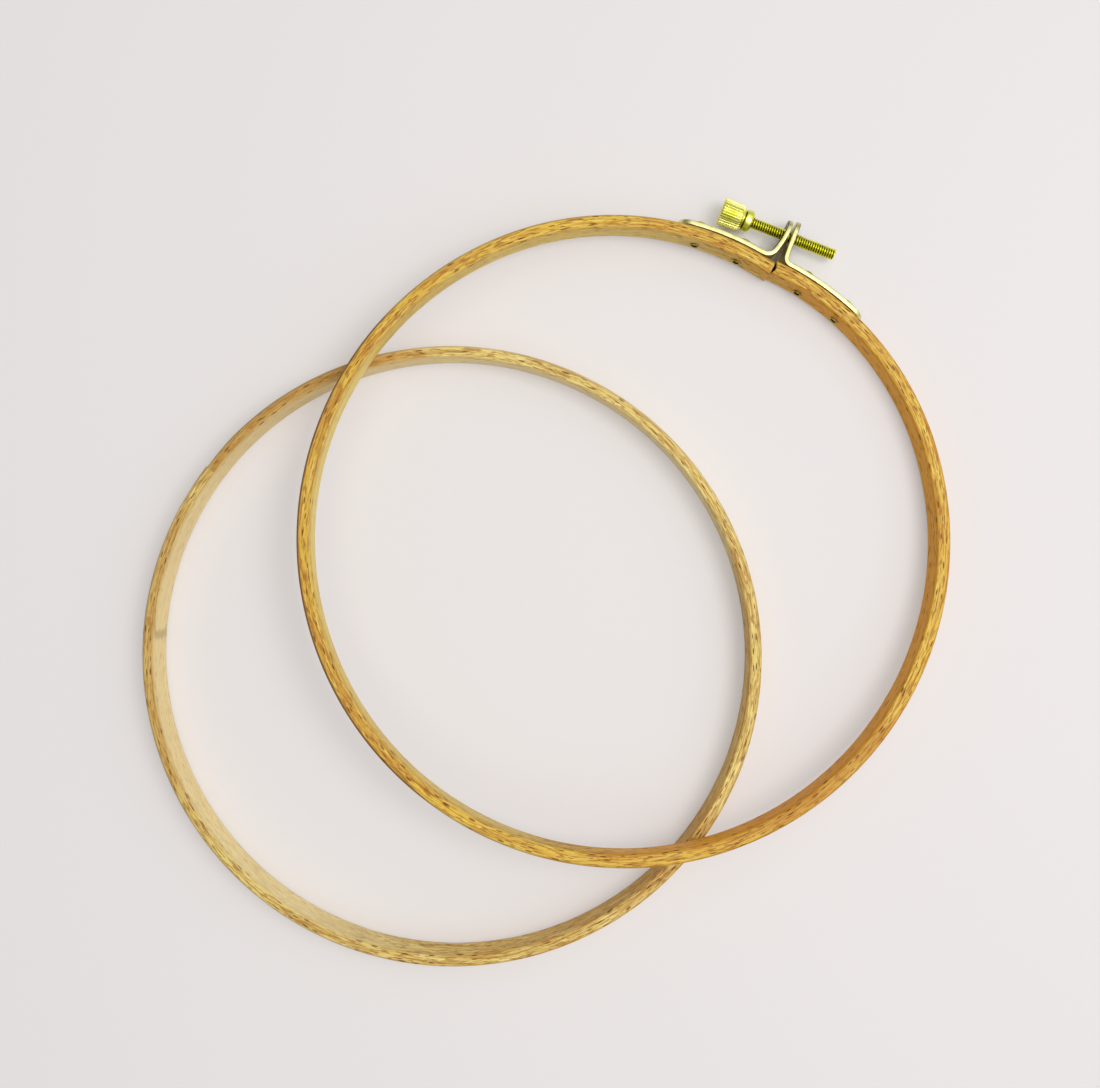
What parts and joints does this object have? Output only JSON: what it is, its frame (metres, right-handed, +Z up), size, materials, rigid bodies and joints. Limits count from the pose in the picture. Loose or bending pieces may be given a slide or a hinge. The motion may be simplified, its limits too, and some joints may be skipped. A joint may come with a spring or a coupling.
{
  "type": "embroidery hoop",
  "caption": "Wooden embroidery hoop lying open: a closed inner ring under a split outer ring whose bent brass clamp plates are drawn together by a knurled thumb screw.",
  "frame": {"origin": "on the table under the centre of the whole layout's outline", "axes": "+Z up from the table, +X to the right and +Y to the top of the picture, with the inner ring at lower left and the clamp at upper right"},
  "size_m": [0.1968, 0.1876, 0.0192],
  "materials": {
    "inner_wood": "pale smooth beech with short brown flecks, satin",
    "outer_wood": "golden beech with short brown flecks and orange streaks, satin",
    "plate_brass": "pale bright brass-plated sheet",
    "screw_brass": "bright yellow turned brass"
  },
  "bodies": {
    "inner_ring_body": {"inner_ring": "inner_wood"},
    "outer_ring_body": {"outer_ring": "outer_wood", "left_flange": "plate_brass", "left_rivet_1": "screw_brass", "left_rivet_2": "screw_brass"},
    "right_clamp": {"right_flange": "plate_brass", "right_rivet_1": "screw_brass", "right_rivet_2": "screw_brass"},
    "screw_rod": {"threaded_rod": "screw_brass"},
    "screw_grip": {"screw_knob": "screw_brass"}
  },
  "joints": [
    {"name": "outer_ring_lift", "type": "slide", "parent": "inner_ring_body", "child": "outer_ring_body", "axis": [0, 0, 1], "range_m": [0, 0.04]},
    {"name": "gap_opening", "type": "hinge", "parent": "outer_ring_body", "child": "right_clamp", "pos_m": [-0.01616, -0.05585, 0.01526], "axis": [-0.0685, -0.0467, -0.9966], "range_deg": [0, 1.8], "stiffness_Nm_per_rad": 1.5, "deforming": ["outer_ring"]},
    {"name": "screw_travel", "type": "slide", "parent": "right_clamp", "child": "screw_rod", "axis": [0.932, -0.3595, -0.0473], "range_m": [-0.009, 0.002]},
    {"name": "screw_turn", "type": "hinge", "parent": "screw_rod", "child": "screw_grip", "pos_m": [0.04731, 0.08944, 0.00409], "axis": [0.932, -0.3595, -0.0473], "range_deg": [-5400.5, 1200.5]}
  ],
  "couplings": [
    {"joint": "screw_turn", "follows": "screw_travel", "rad_per_m": 10472}
  ]
}
